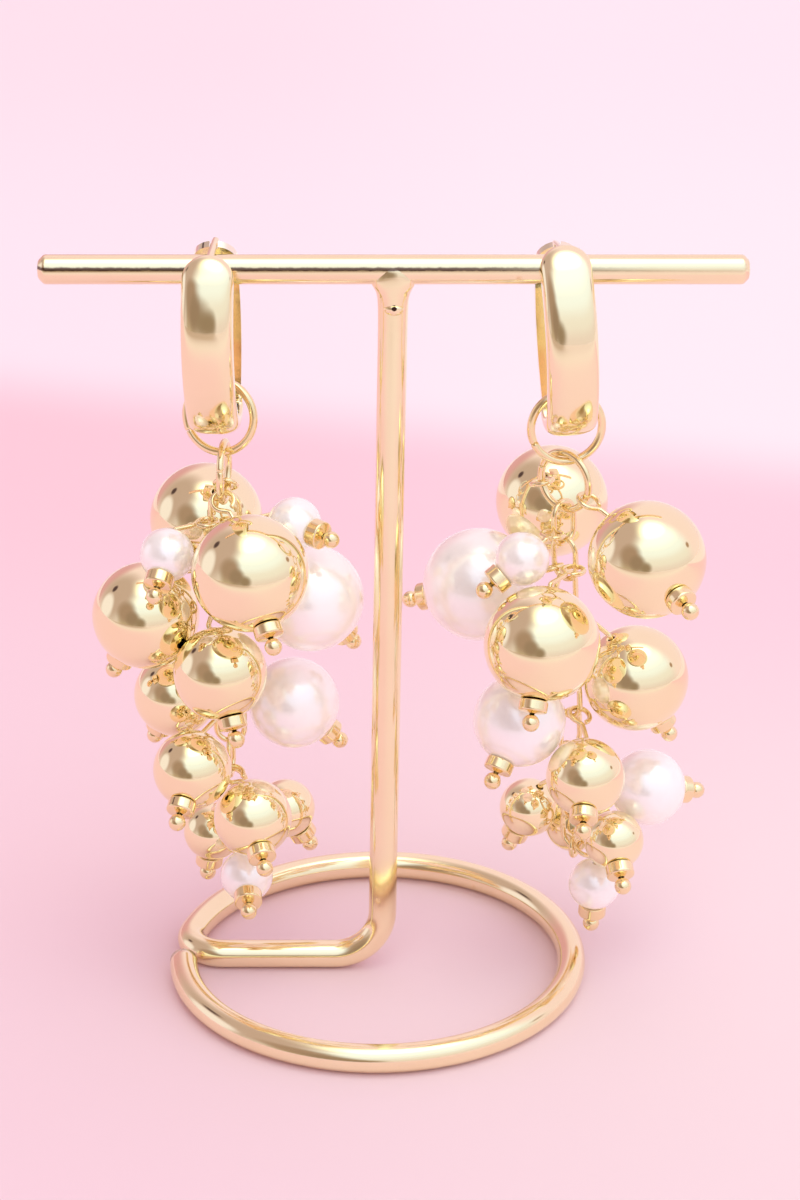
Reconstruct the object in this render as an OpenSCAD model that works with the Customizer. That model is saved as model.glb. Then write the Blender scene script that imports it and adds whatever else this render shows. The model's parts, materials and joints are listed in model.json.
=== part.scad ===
// A pair of cluster earrings on a T-bar display stand.
// Each earring hangs by the ear post of its hinged hoop. Below the hoop come a jump ring, a
// link ring and a cable chain, and every bead hangs by the eye of its own head pin.
// Origin: the surface the stand is on, under the middle of the crossbar. +Z is up, +X is
// along the crossbar and -Y is the front.

/* [Stand] */
// Diameter of the stand's wire
wire_d = 4; // [3.6:0.1:4.2]
// Length of the crossbar
bar_len = 95; // [88:1:110]
// Height of the last chain link's end over the surface
chain_clear = 17.05; // [17:0.05:20]
// How far the crossbar is behind the middle of the floor ring
bar_y = 5; // [4:0.5:6]
// Radius of the floor ring's centre line
floor_r = 28.1; // [26:0.1:32]
// Sideways place of the floor ring's middle
floor_x = -2.4; // [-3:0.1:-1]
// Radius of the bend at the foot of the post
foot_bend = 7; // [5:0.5:9]
// Radius of the bend from the floor arm into the ring
ring_bend = 5; // [4:0.5:6]
// Chamfer at the crossbar's ends
bar_chamfer = 0.8; // [0.4:0.1:1.2]

/* [Hoops] */
// Outer height of a hoop
hoop_h = 27.2; // [26:0.1:29]
// Outer depth of a hoop, front to back
hoop_d = 18.5; // [17.5:0.1:19.5]
// Outer radius at the top and bottom of the oval
hoop_end_r = 7.4; // [7.2:0.1:7.8]
// Height of the oval's top above the crossbar's axis
hoop_top = 4.3; // [4.3:0.1:4.5]
// Width of the puffed front band
band_w = 6.9; // [6.5:0.1:7]
// Thickness of the front band at its crown
band_t = 2.6; // [2.5:0.1:2.7]
// Thickness of the front band at its edges
band_edge = 0.9; // [0.7:0.1:1.1]
// Width of the back arm
arm_w = 5.8; // [5:0.1:6.2]
// Thickness of the back arm
arm_t = 1.3; // [1.1:0.1:1.4]
// Diameter of the ear post
post_d = 1; // [0.8:0.05:1]
// Diameter of the hinge pin
hinge_d = 1; // [0.8:0.05:1]

/* [Rings and chain] */
// Outer diameter of the jump ring on the hoop
jump_d = 11; // [11:0.1:11.5]
// Wire of the jump ring
jump_wire = 1.15; // [1:0.05:1.2]
// Outer diameter of the link ring below it
ring_d = 9.2; // [9.1:0.1:9.5]
// Wire of the link ring
ring_wire = 1.05; // [0.9:0.05:1.1]
// Length of a chain link
link_len = 7; // [6.9:0.05:7.1]
// Width of a chain link
link_w = 4.8; // [4.7:0.05:4.9]
// Wire of a chain link
link_wire = 0.8; // [0.7:0.05:0.8]

/* [Places] */
// Sideways place of the left hoop on the crossbar, and of its chain
left_hoop_x = -24.2; // [-24.4:0.1:-24]
left_chain_x = -23.3; // [-23.5:0.1:-23.1]
// Sideways place of the right hoop on the crossbar, and of its chain
right_hoop_x = 22.6; // [22.4:0.1:22.8]
right_chain_x = 23.5; // [23.3:0.1:23.7]
// How far each hoop has slid back along its ear post
left_slide = -1.8; // [-2:0.1:-1.6]
right_slide = 0.8; // [0.6:0.1:1]

/* [Beads] */
// Diameters of the beads, from the largest to the smallest
bead_1 = 16; // [15.8:0.1:16.1]
bead_2 = 15; // [14.8:0.1:15.1]
bead_3 = 13; // [12.8:0.1:13.1]
bead_4 = 12; // [11.8:0.1:12.1]
bead_5 = 11; // [10.8:0.1:11.1]
bead_6 = 8.5; // [8.3:0.1:8.6]
bead_7 = 7.5; // [7.3:0.1:7.6]

/* [Drops] */
// Wire of a head pin
pin_d = 0.7; // [0.6:0.05:0.7]
// Outer diameter of a head pin's eye
eye_d = 3.7; // [3.65:0.05:3.75]
// Step in the length of the wire between an eye and its bend
neck_step = 0.25; // [0.24:0.005:0.26]
// Wire between the corner of a head pin's bend and its bead
pin_out = 0.5; // [0.45:0.05:0.55]
// Wire between that corner and either end of the bend
pin_bend = 0.35; // [0.3:0.01:0.4]
// Diameter of a head pin's ball tip
ball_d = 2.4; // [2:0.1:2.4]
// Diameter of the disc between a bead and its ball tip
disc_d = 4; // [3.4:0.1:4]
// Thickness of that disc
disc_t = 1.6; // [1.2:0.1:1.6]
// Diameter of the hole through a bead
bead_hole = 1; // [0.95:0.05:1.2]
// Gap between pieces that rest on each other
gap = 0.1; // [0.08:0.01:0.12]

/* [Hidden] */
$fn = 48;

// Columns of the two earrings' table
NAME = 0;
HOOP_X = 1;
HOOP_SLIDE = 2;
CHAIN_X = 3;
HOOP_TURN = 4;
HOOP_LEAN = 5;
HOOP_PITCH = 6;
JUMP_TURN = 7;
RING_TURN = 8;
LINK_TURN = 9;
CHAIN_LEAN = 10;
DROPS = 11;

// Columns of a drop's row. HOST is the chain link that holds the eye, counted from 0 at the
// top, or -1 for the link ring. SIDE picks the link's side. AZ and TILT aim the pin's eye: the
// compass turn from +X, and the angle away from straight down. NECK is the wire between the
// eye and the pin's bend, in steps. BEAD_AZ and BEAD_TILT aim the bead past the bend.
HOST = 0;
SIDE = 1;
AZ = 2;
TILT = 3;
NECK = 4;
BEAD_AZ = 5;
BEAD_TILT = 6;
SIZE = 7;
KIND = 8;

left_drops = [
    [-1,  1,  130, 56,  3,  110, 41, bead_1, "gold"],
    [ 0,  1,   30, 90, 10,  -40, 85, bead_7, "pearl"],
    [ 0, -1, -160, 85, 11, -105, 55, bead_7, "pearl"],
    [-1, -1,  -55, 55,  4,  -65, 45, bead_1, "gold"],
    [ 1, -1, -175, 85, 20,  160, 30, bead_2, "gold"],
    [ 0,  1,  -10, 50, 20,   30, 40, bead_2, "pearl"],
    [ 4, -1,  150, 75,  7,  140, 30, bead_4, "gold"],
    [ 2, -1, -100, 70, 11,  -65, 35, bead_3, "gold"],
    [ 4,  1,   25, 60,  3,   15, 45, bead_3, "pearl"],
    [ 5, -1, -140, 60, 11, -105, 55, bead_5, "gold"],
    [ 7, -1,  -40, 75,  2,  -75, 60, bead_5, "gold"],
    [ 8,  1,   55, 85, 13,   20, 30, bead_6, "gold"],
    [ 8, -1,  105, 60,  9,  140, 10, bead_6, "gold"],
    [ 9,  1,    0, 35,  2,  -85, 70, bead_7, "pearl"],
];

right_drops = [
    [-1, -1,   85, 80, 11,   75, 45, bead_1, "gold"],
    [-1,  1,  -35, 65, 11,  -60, 70, bead_1, "gold"],
    [ 1,  1,  145, 65,  6,  160, 70, bead_1, "pearl"],
    [ 0, -1, -115, 95,  2, -160, 55, bead_7, "pearl"],
    [ 1, -1, -125, 90, 16, -105, 35, bead_1, "gold"],
    [ 2,  1,  -20, 55, 16,   10, 30, bead_2, "gold"],
    [ 4, -1, -160, 90,  2, -125, 45, bead_3, "pearl"],
    [ 5, -1,  -80, 70, 12,  -95, 55, bead_5, "gold"],
    [ 7, -1,    5, 75,  9,   25, 75, bead_5, "pearl"],
    [ 7,  1,  155, 55,  6,  150, 25, bead_6, "gold"],
    [ 8,  1,  -40, 89,  9,  -80, 54, bead_6, "gold"],
    [ 9, -1,   65, 95,  2,  100, 90, bead_6, "gold"],
    [ 9, -1,  -45, 65,  2,  120,  5, bead_7, "pearl"],
];

left = ["left", left_hoop_x, left_slide, left_chain_x, -3, 0, -6, -18, 85, -5, 0, left_drops];
right = ["right", right_hoop_x, right_slide, right_chain_x, 5, -3, 5, 8, -40, 45, 0.05,
         right_drops];

links = 10;
floor_arm_y = 0.6;

// Where two swept lengths meet, one is thinner by this much and runs this far into the other
nest = 0.03;
dip = 0.2;

// Derived sizes of the hoop. The oval is four arcs: an end arc at the top and the bottom, and
// a flatter side arc at the front and the back.
half_h = hoop_h / 2;
half_d = hoop_d / 2;
hoop_mid = hoop_top - half_h;
end_up = half_h - hoop_end_r;
side_r = (half_d * half_d + end_up * end_up - hoop_end_r * hoop_end_r)
    / (2 * (half_d - hoop_end_r));
side_y = side_r - half_d;
join_phi = 90 - atan(end_up / side_y);
crown_up = band_t - band_edge;
crown_r = (band_w * band_w / 4 + crown_up * crown_up) / (2 * crown_up);
cap_phi = join_phi - 10;
arm_crown_r = 14;
low_end = hoop_mid - end_up;
high_end = hoop_mid + end_up;

// Derived places of the hoop's hinge and ear post
hinge_phi = 40;
hinge_r = hoop_end_r - band_t / 2;
hinge_y = hinge_r * sin(hinge_phi);
hinge_z = low_end - hinge_r * cos(hinge_phi);
knuckle_w = 2.3;
knuckle_r = band_t / 2 - 0.05;
cheek_half = 3;
neck_w = knuckle_w - 0.2;
running = 0.05;
slot_gap = 0.15;
post_slope = 4;
post_rise = wire_d / 2 + post_d / 2 + gap / 2;
post_front = 3.6;
post_back = 6.2;

// Derived sizes of the rings and the chain
jump_r = (jump_d - jump_wire) / 2;
ring_r = (ring_d - ring_wire) / 2;
bend_r = (link_w - link_wire) / 2;
link_half = (link_len - link_wire) / 2;
link_straight = link_half - bend_r;
pitch = 2 * link_half - link_wire - 1.2 * gap;
seat_phi = 15;

// Derived sizes of a head pin
eye_r = (eye_d - pin_d) / 2;
least_slide = 50;
least_ring_slide = 22;

// A level direction and a pin's direction
function level(az) = [cos(az), sin(az), 0];
function aim(az, tilt) = sin(tilt) * level(az) - [0, 0, cos(tilt)];

// The seat of the jump ring in the hoop, as [y, z] from the crossbar's axis
function seat(e) =
    let (y = (hoop_end_r - band_t) * sin(seat_phi) + e[HOOP_SLIDE] * cos(post_slope),
         z = low_end - (hoop_end_r - band_t) * cos(seat_phi)
             - e[HOOP_SLIDE] * sin(post_slope),
         p = e[HOOP_PITCH])
    [y * cos(p) + z * sin(p), z * cos(p) - y * sin(p)];

// The jump ring hangs between the hoop's bottom and the chain's line. Half the band's width
// as the turned ring crosses it says how far the ring's middle is below the seat.
function seat_x(e) = e[HOOP_X] + seat(e)[1] * sin(e[HOOP_LEAN]);
function jump_x(e) = (seat_x(e) + e[CHAIN_X]) / 2;
function half_cross(e) = band_w / 2 / cos(e[JUMP_TURN]) + abs(seat_x(e) - jump_x(e));
function jump_sag(e) = sqrt(pow(jump_r - jump_wire / 2, 2) - pow(half_cross(e), 2));
function jump_lean(e) = asin(seat(e)[0] / (2 * jump_r));
function jump_down(e) = jump_sag(e) - seat(e)[1] - 4 * gap;
function ring_down(e) =
    jump_down(e) + jump_r * cos(jump_lean(e)) - (jump_wire + ring_wire) / 2 - gap + ring_r;
function link_down(e, k) =
    ring_down(e) + ring_r - (ring_wire + link_wire) / 2 - gap + link_half + k * pitch;

// The crossbar's axis is as high as the longer chain needs
bar_h = chain_clear + link_half
    + max(link_down(left, links - 1), link_down(right, links - 1));
function jump_z(e) = bar_h - jump_down(e);
function ring_z(e) = bar_h - ring_down(e);
function link_z(e, k) = bar_h - link_down(e, k);

// The chain's sideways drift, which grows from the second link down
function drift(e, z) = e[CHAIN_LEAN] * max(0, link_z(e, 0) - z);
function on_chain(e, z) = [e[CHAIN_X] + drift(e, z), bar_y, z];

// The middle of the arc that holds a drop's eye, its radius, wire and turn
function hold(e, d) = d[HOST] < 0
    ? [on_chain(e, ring_z(e)), ring_r, ring_wire, e[RING_TURN]]
    : [on_chain(e, link_z(e, d[HOST]) - link_straight), bend_r, link_wire,
       e[LINK_TURN] + 90 * (d[HOST] % 2)];
function hold_az(e, d) = hold(e, d)[3] + (d[SIDE] > 0 ? 0 : 180);

// How far up its arc a drop's eye rests: as the pin pulls, but clear of the next link
function least(d) = d[HOST] < 0 ? least_ring_slide : (d[HOST] == links - 1 ? 0 : least_slide);
function slide(e, d) =
    min(90, max(least(d),
        atan2(sin(d[TILT]) * cos(d[AZ] - hold_az(e, d)), cos(d[TILT]))));
function held_at(e, d) =
    hold(e, d)[0] + hold(e, d)[1] * aim(hold_az(e, d), slide(e, d));
function wire_run(e, d) =
    cos(slide(e, d)) * level(hold_az(e, d)) + [0, 0, sin(slide(e, d))];

// Middles of a drop's eye, of the pin's bend, of the bead and of the ball tip, and the eye's
// own axis
function eye_dir(d) = aim(d[AZ], d[TILT]);
function bead_dir(d) = aim(d[BEAD_AZ], d[BEAD_TILT]);
function eye_at(e, d) =
    held_at(e, d) + (eye_r - pin_d / 2 - hold(e, d)[2] / 2 - gap) * eye_dir(d);
function bend_at(e, d) =
    eye_at(e, d) + (eye_r + pin_d / 2 + d[NECK] * neck_step) * eye_dir(d);
function bead_at(e, d) = bend_at(e, d) + (pin_out + d[SIZE] / 2) * bead_dir(d);
function tip_at(e, d) =
    bead_at(e, d) + (d[SIZE] / 2 + disc_t + 2 * gap + ball_d / 2) * bead_dir(d);
function unit(v) = v / norm(v);
function square_to(v, d) = unit(v - (v * d) * d);
function eye_axis(e, d) = square_to(wire_run(e, d), eye_dir(d));

function name_of(e, part) = str(e[NAME], "_", part);
function bead_name(e, i) = str(e[NAME], "_bead_", i + 1);

PARTS = ["hoop_front", "hoop_arm", "hinge_pin", "jump_ring", "link_ring", "chain",
         "head_pins", "discs"];
NODES = concat(
    ["stand"],
    [for (e = [left, right]) for (p = PARTS) name_of(e, p)],
    [for (e = [left, right]) for (i = [0 : len(e[DROPS]) - 1]) bead_name(e, i)]);
node = "all";

gold = "#e8c690";
pale_gold = "#ecd0a6";
pearl = "#f4ebe8";

// A length of round wire from one point to another
module wire(from, to, d) {
    run = to - from;
    translate(from)
        rotate([0, acos(run[2] / norm(run)), atan2(run[1], run[0])])
            cylinder(h = norm(run), d = d);
}

// A bend of round wire about Z, between two angles
module bend(r, d, from, to) {
    rotate([0, 0, from])
        rotate_extrude(angle = to - from) translate([r, 0]) circle(d = d);
}

// Post and floor arm: one wire, bent at the foot, leaning back and a little sideways
module post() {
    foot = [-1.8, floor_arm_y, wire_d / 2];
    top = [0, bar_y, bar_h];
    run = top - foot;
    back = atan(run[1] / run[2]);
    straight_d = wire_d - nest;
    under_bar = 1;
    height = norm([run[1], run[2]]);
    side = atan(run[0] / height);
    tangent = foot_bend * tan((90 - side) / 2);
    translate(foot) rotate([-back, 0, 0]) {
        translate([-tangent, 0, foot_bend]) rotate([90, 0, 0])
            bend(foot_bend, wire_d, -90, -side);
        wire((tangent - dip) * [sin(side), 0, cos(side)],
             (height - under_bar) * [tan(side), 0, 1], straight_d);
    }
    wire([foot[0] - tangent + dip, foot[1], foot[2]],
         [arm_end()[0] - dip, foot[1], foot[2]], straight_d);
}

// Where the floor arm ends and its bend into the ring starts, and that bend's middle
function arm_end() =
    [floor_x - sqrt(pow(floor_r - ring_bend, 2) - pow(floor_arm_y + ring_bend, 2)),
     floor_arm_y + ring_bend];

// Floor ring: it runs from the arm's bend round the back, right and front, and stops just
// short of the bend
module floor_ring() {
    mid = arm_end();
    from = atan2(mid[1], mid[0] - floor_x);
    stop = -177;
    translate([mid[0], mid[1], wire_d / 2]) bend(ring_bend, wire_d, from, 270);
    translate([floor_x, 0, wire_d / 2])
        bend(floor_r, wire_d - nest, stop, from + dip / floor_r * 180 / PI);
}

// Crossbar with chamfered ends, and the weld that flares the post's top
module crossbar() {
    weld_from = 4;
    weld_to = 0.7;
    translate([-bar_len / 2, bar_y, bar_h]) rotate([0, 90, 0]) {
        cylinder(h = bar_chamfer, d1 = wire_d - 2 * bar_chamfer, d2 = wire_d);
        translate([0, 0, bar_chamfer]) cylinder(h = bar_len - 2 * bar_chamfer, d = wire_d);
        translate([0, 0, bar_len - bar_chamfer])
            cylinder(h = bar_chamfer, d1 = wire_d, d2 = wire_d - 2 * bar_chamfer);
    }
    translate([0, bar_y, bar_h - weld_from])
        cylinder(h = weld_from - weld_to, d1 = 0.94 * wire_d, d2 = 1.14 * wire_d);
}

module stand() {
    color(pale_gold) {
        post();
        floor_ring();
        crossbar();
    }
}

// Sweeps a profile about the hoop's own X axis. Angle 0 is down and 90 is the back. In the
// profile X is the distance from the axis and Y is sideways.
module sweep(from, to) {
    rotate([0, 90, 0]) rotate([0, 0, from]) rotate_extrude(angle = to - from) children();
}

// Section of a strip with its outside at r: flat inside, low walls and a crown of its own
// radius. It can be thinner all round.
module strip_section(r, w, t, crown, thin = 0) {
    intersection() {
        translate([r - crown, 0]) circle(crown - thin);
        translate([r - t + thin, -w / 2 + thin]) square([t, w - 2 * thin]);
    }
}
module band_section(r, thin = 0) {
    strip_section(r, band_w, band_t, crown_r, thin);
}
module arm_section(r, thin = 0) {
    strip_section(r, arm_w, arm_t, arm_crown_r, thin);
}

// Turns a section's half about its own middle, for a round end. Angle as in sweep.
module round_end(phi) {
    rotate([180 + phi, 0, 0]) rotate_extrude() intersection() {
        rotate([0, 0, 90]) mirror([0, 1]) children();
        square([band_w, 2 * side_r]);
    }
}

// A round bar across the hoop, along its hinge
module cross_wire(length, d) {
    wire([-length / 2, hinge_y, hinge_z], [length / 2, hinge_y, hinge_z], d);
}

// A round bar along the ear post
module post_line(r, from, to) {
    rotate([-post_slope, 0, 0]) wire([0, from, post_rise], [0, to, post_rise], 2 * r);
}

// Puts a hoop on the crossbar: turned, leaned and pitched as it hangs, and slid along its
// ear post
module hang(e) {
    translate([e[HOOP_X], bar_y, bar_h])
        rotate([0, e[HOOP_LEAN], 0]) rotate([0, 0, e[HOOP_TURN]])
            rotate([-e[HOOP_PITCH] - post_slope, 0, 0]) translate([0, e[HOOP_SLIDE], 0])
                rotate([post_slope, 0, 0]) children();
}

module hoop_front() {
    end_dip = dip / hoop_end_r * 180 / PI;
    side_dip = dip / side_r * 180 / PI;
    difference() {
        union() {
            translate([0, 0, low_end]) sweep(-join_phi, hinge_phi) band_section(hoop_end_r);
            translate([0, side_y, hoop_mid])
                sweep(join_phi - 180 - side_dip, -join_phi + side_dip)
                    band_section(side_r, nest / 2);
            translate([0, 0, high_end])
                sweep(-180 + cap_phi, -180 + join_phi) band_section(hoop_end_r);
            translate([0, 0, high_end]) round_end(-180 + cap_phi + end_dip)
                band_section(hoop_end_r, nest / 2);
            cross_wire(2 * cheek_half, 2 * knuckle_r);
        }
        cross_wire(knuckle_w + 2 * slot_gap, 2 * (knuckle_r + slot_gap));
        cross_wire(2 * band_w, hinge_d + 2 * running);
    }
    post_line(post_d / 2, -post_front, post_back);
    rotate([-post_slope, 0, 0]) translate([0, post_back, post_rise]) sphere(d = post_d);
}

module hoop_arm() {
    end_dip = dip / side_r * 180 / PI;
    tip_phi = 180 - join_phi - 1;
    difference() {
        union() {
            translate([0, -side_y, hoop_mid]) sweep(join_phi, tip_phi) arm_section(side_r);
            translate([0, -side_y, hoop_mid]) round_end(tip_phi - end_dip)
                arm_section(side_r, nest / 2);
            translate([0, 0, low_end]) sweep(hinge_phi, join_phi + 3)
                translate([hoop_end_r - 2, -neck_w / 2]) square([1.8, neck_w]);
            cross_wire(knuckle_w, 2 * knuckle_r);
        }
        cross_wire(2 * band_w, hinge_d + 2 * running);
        rotate([-post_slope, 0, 0]) {
            translate([-post_d / 2 - gap, wire_d / 2, post_rise])
                cube([post_d + 2 * gap, half_d, half_d]);
            wire([0, wire_d / 2, post_rise], [0, half_d, post_rise], post_d + 2 * gap);
        }
    }
}

module hinge_pin() {
    cross_wire(2 * cheek_half + 0.4, hinge_d);
}

// A ring of round wire standing on edge, with its flat side turned to an angle from +X
module upright_ring(r, d, turn) {
    rotate([90, 0, turn]) bend(r, d, 0, 360);
}

module jump_ring(e) {
    lean = jump_lean(e);
    translate([jump_x(e), bar_y + jump_r * sin(lean), jump_z(e)]) rotate([-lean, 0, 0])
        upright_ring(jump_r, jump_wire, e[JUMP_TURN]);
}

module link_ring(e) {
    translate([e[CHAIN_X], bar_y, ring_z(e)])
        upright_ring(ring_r, ring_wire, e[RING_TURN]);
}

// One oval link, upright, in the XZ plane
module oval_link() {
    rotate([90, 0, 0]) {
        translate([0, link_straight, 0]) bend(bend_r, link_wire, 0, 180);
        translate([0, -link_straight, 0]) bend(bend_r, link_wire, 180, 360);
    }
    for (s = [-1, 1])
        wire([s * bend_r, 0, -link_straight], [s * bend_r, 0, link_straight], link_wire);
}

module chain(e) {
    for (k = [0 : links - 1])
        translate(on_chain(e, link_z(e, k)))
            rotate([0, -atan(e[CHAIN_LEAN]), 0])
                rotate([0, 0, e[LINK_TURN] + 90 * (k % 2)]) oval_link();
}

// Turns +Z to the way a bead hangs
module along(d) {
    rotate([0, 180 - d[BEAD_TILT], d[BEAD_AZ]]) children();
}

// Bend of a head pin round a corner, from one direction to another
module corner(at, from, to) {
    turn = acos(from * to);
    r = pin_bend / tan(turn / 2);
    inward = unit(to - from);
    x = square_to(-inward, from);
    z = cross(x, from);
    translate(at + r / cos(turn / 2) * inward)
        rotate([atan2(from[2], z[2]), -asin(x[2]), atan2(x[1], x[0])])
            bend(r, pin_d, 0, turn);
}

// Head pin: an eye round its link, a bend, a straight wire and a ball tip
module head_pin(e, d) {
    eye = eye_at(e, d);
    axis = eye_axis(e, d);
    at = bend_at(e, d);
    translate(eye)
        rotate([0, acos(axis[2]), atan2(axis[1], axis[0])]) bend(eye_r, pin_d, 0, 360);
    wire(eye + eye_r * eye_dir(d), at - (pin_bend - nest) * eye_dir(d), pin_d - nest);
    corner(at, eye_dir(d), bead_dir(d));
    wire(at + (pin_bend - nest) * bead_dir(d), tip_at(e, d), pin_d - nest);
    translate(tip_at(e, d)) sphere(d = ball_d);
}

// Disc with a rounded rim, at a bead's outer end
module disc(e, d) {
    start = bead_at(e, d) + (d[SIZE] / 2 + gap) * bead_dir(d);
    hole_r = pin_d / 2 + gap;
    rim = disc_t / 2;
    translate(start) along(d) rotate_extrude() {
        translate([disc_d / 2 - rim, rim]) circle(rim);
        translate([hole_r, 0]) square([disc_d / 2 - rim - hole_r, disc_t]);
    }
}

// Round bead, drilled for its pin
module bead(e, d) {
    color(d[KIND] == "gold" ? gold : pearl)
        translate(bead_at(e, d)) along(d) difference() {
            sphere(d = d[SIZE]);
            translate([0, 0, -d[SIZE]]) cylinder(h = 2 * d[SIZE], d = bead_hole);
        }
}

function wants(name) = node == "all" || node == name;

if (wants("stand")) stand();
for (e = [left, right]) {
    if (wants(name_of(e, "hoop_front"))) color(gold) hang(e) hoop_front();
    if (wants(name_of(e, "hoop_arm"))) color(gold) hang(e) hoop_arm();
    if (wants(name_of(e, "hinge_pin"))) color(gold) hang(e) hinge_pin();
    if (wants(name_of(e, "jump_ring"))) color(gold) jump_ring(e);
    if (wants(name_of(e, "link_ring"))) color(gold) link_ring(e);
    if (wants(name_of(e, "chain"))) color(gold) chain(e);
    if (wants(name_of(e, "head_pins"))) color(gold) for (d = e[DROPS]) head_pin(e, d);
    if (wants(name_of(e, "discs"))) color(gold) for (d = e[DROPS]) disc(e, d);
    for (i = [0 : len(e[DROPS]) - 1])
        if (wants(bead_name(e, i))) bead(e, e[DROPS][i]);
}
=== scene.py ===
# A pair of cluster earrings on a wire display stand: smooth plated and pearl pieces, laid over
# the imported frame. Lengths are in millimetres until they go into a mesh.
import json
import math
import bpy
import numpy as np
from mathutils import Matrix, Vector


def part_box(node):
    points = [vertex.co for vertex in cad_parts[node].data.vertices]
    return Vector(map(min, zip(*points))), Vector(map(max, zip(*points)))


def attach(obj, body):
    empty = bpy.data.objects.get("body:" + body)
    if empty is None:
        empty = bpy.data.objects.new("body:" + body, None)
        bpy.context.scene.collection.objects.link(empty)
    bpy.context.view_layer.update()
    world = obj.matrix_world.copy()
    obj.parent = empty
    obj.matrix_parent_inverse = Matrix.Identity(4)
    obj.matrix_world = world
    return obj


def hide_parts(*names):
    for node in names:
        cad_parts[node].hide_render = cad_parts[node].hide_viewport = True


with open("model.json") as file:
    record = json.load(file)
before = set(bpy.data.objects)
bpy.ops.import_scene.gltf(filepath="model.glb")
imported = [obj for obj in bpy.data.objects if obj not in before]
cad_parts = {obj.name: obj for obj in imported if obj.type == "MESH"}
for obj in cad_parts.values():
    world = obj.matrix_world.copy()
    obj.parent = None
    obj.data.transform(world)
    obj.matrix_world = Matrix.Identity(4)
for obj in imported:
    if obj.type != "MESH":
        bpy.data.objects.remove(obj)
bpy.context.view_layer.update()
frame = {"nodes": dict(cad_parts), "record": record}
mm = 0.001
restBody = "pair_on_stand"

# Camera, as the photograph was taken: 90 mm lens, looking down a little
camera = {"eye": (0.85, -381.0, 220.1), "pitchDown": 23.03, "lens": 90.0}

camData = bpy.data.cameras.new("camera")
camData.lens = camera["lens"]
camData.sensor_width = 36.0
camData.clip_start, camData.clip_end = 0.01, 20.0
cam = bpy.data.objects.new("camera", camData)
cam.location = [mm * v for v in camera["eye"]]
cam.rotation_euler = (math.radians(90 - camera["pitchDown"]), 0, 0)
bpy.context.scene.collection.objects.link(cam)
bpy.context.scene.camera = cam
print("camera placed")


# Small vector helpers, on whole arrays
def unit(v):
    v = np.asarray(v, float)
    return v / np.linalg.norm(v, axis=-1, keepdims=True)


def level(az):
    return np.array([math.cos(math.radians(az)), math.sin(math.radians(az)), 0.0])


def aim(az, tilt):
    t = math.radians(tilt)
    return math.sin(t) * level(az) + np.array([0, 0, -math.cos(t)])


def turn(axis, degrees):
    # Rotation matrix about one of the axes x, y, z
    c, s = math.cos(math.radians(degrees)), math.sin(math.radians(degrees))
    i, j = {"x": (1, 2), "y": (2, 0), "z": (0, 1)}[axis]
    m = np.eye(3)
    m[i, i] = m[j, j] = c
    m[i, j], m[j, i] = -s, s
    return m


def acrossOf(axis):
    # Two unit vectors square to an axis and to each other
    axis = unit(axis)
    spare = np.array([0.31, 0.42, 0.85]) if abs(axis[2]) < 0.8 else np.array([0.9, 0.3, 0.2])
    a = unit(np.cross(axis, spare))
    return a, np.cross(axis, a)


# Mesh making. A piece is one or more shells, each a grid of points: rows run along the shape,
# columns run round it. A grid closes round its columns; its rows close too, or end in poles.
def shellFaces(rows, cols, closed):
    r = np.arange(rows if closed else rows - 1)[:, None]
    c = np.arange(cols)[None, :]
    r2, c2 = (r + 1) % rows, (c + 1) % cols
    quads = np.stack([r * cols + c, r * cols + c2, r2 * cols + c2, r2 * cols + c], -1)
    return quads.reshape(-1, 4)


def polesOf(rows, cols, start):
    # Two fans of triangles, to the pole points that follow the grid
    c = np.arange(cols)
    c2 = (c + 1) % cols
    low = np.stack([np.full(cols, start), c2, c], -1)
    top = np.stack([np.full(cols, start + 1), (rows - 1) * cols + c, (rows - 1) * cols + c2], -1)
    return low, top


def makePiece(name, shells, material, replaced=()):
    # shells: list of (grid, closed); the mesh's faces all turn outwards
    points, quads, tris, base = [], [], [], 0
    for grid, closed in shells:
        rows, cols = grid.shape[:2]
        pts = grid.reshape(-1, 3)
        quads.append(shellFaces(rows, cols, closed) + base)
        if not closed:
            ends = np.stack([grid[0].mean(0), grid[-1].mean(0)])
            low, top = polesOf(rows, cols, rows * cols)
            tris += [low + base, top + base]
            pts = np.vstack([pts, ends])
        points.append(pts)
        base += len(pts)
    co = np.vstack(points) * mm
    faces = [f for part in quads + tris for f in part.tolist()]
    mesh = bpy.data.meshes.new(name)
    mesh.from_pydata(co.tolist(), [], faces)
    mesh.shade_smooth()
    mesh.update()
    piece = bpy.data.objects.new(name, mesh)
    bpy.context.scene.collection.objects.link(piece)
    mesh.materials.append(material)
    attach(piece, restBody)
    if replaced:
        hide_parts(*replaced)


def tube(path, radius, beside=(0.30, 0.52, 0.80), sides=16, closed=False):
    # Circle carried along a path: path + r (cos a n + sin a b). The vector beside is never
    # along the path, and sets where a circle starts.
    path = np.asarray(path, float)
    if closed:
        along = unit(np.roll(path, -1, 0) - np.roll(path, 1, 0))
    else:
        along = unit(np.gradient(path, axis=0))
    normal = unit(np.cross(np.asarray(beside, float), along))
    binormal = np.cross(along, normal)
    a = np.linspace(0, 2 * np.pi, sides, endpoint=False)[None, :, None]
    r = np.broadcast_to(radius, (len(path),))[:, None, None]
    return path[:, None] + r * (np.cos(a) * normal[:, None] + np.sin(a) * binormal[:, None])


def revolve(profile, origin, axis, sides=48):
    # Profile of (distance along the axis, radius), turned round it
    profile = np.asarray(profile, float)
    a, b = acrossOf(axis)
    t = np.linspace(0, 2 * np.pi, sides, endpoint=False)[None, :, None]
    spoke = np.cos(t) * a + np.sin(t) * b
    return origin + profile[:, None, :1] * unit(axis) + profile[:, None, 1:] * spoke


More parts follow.
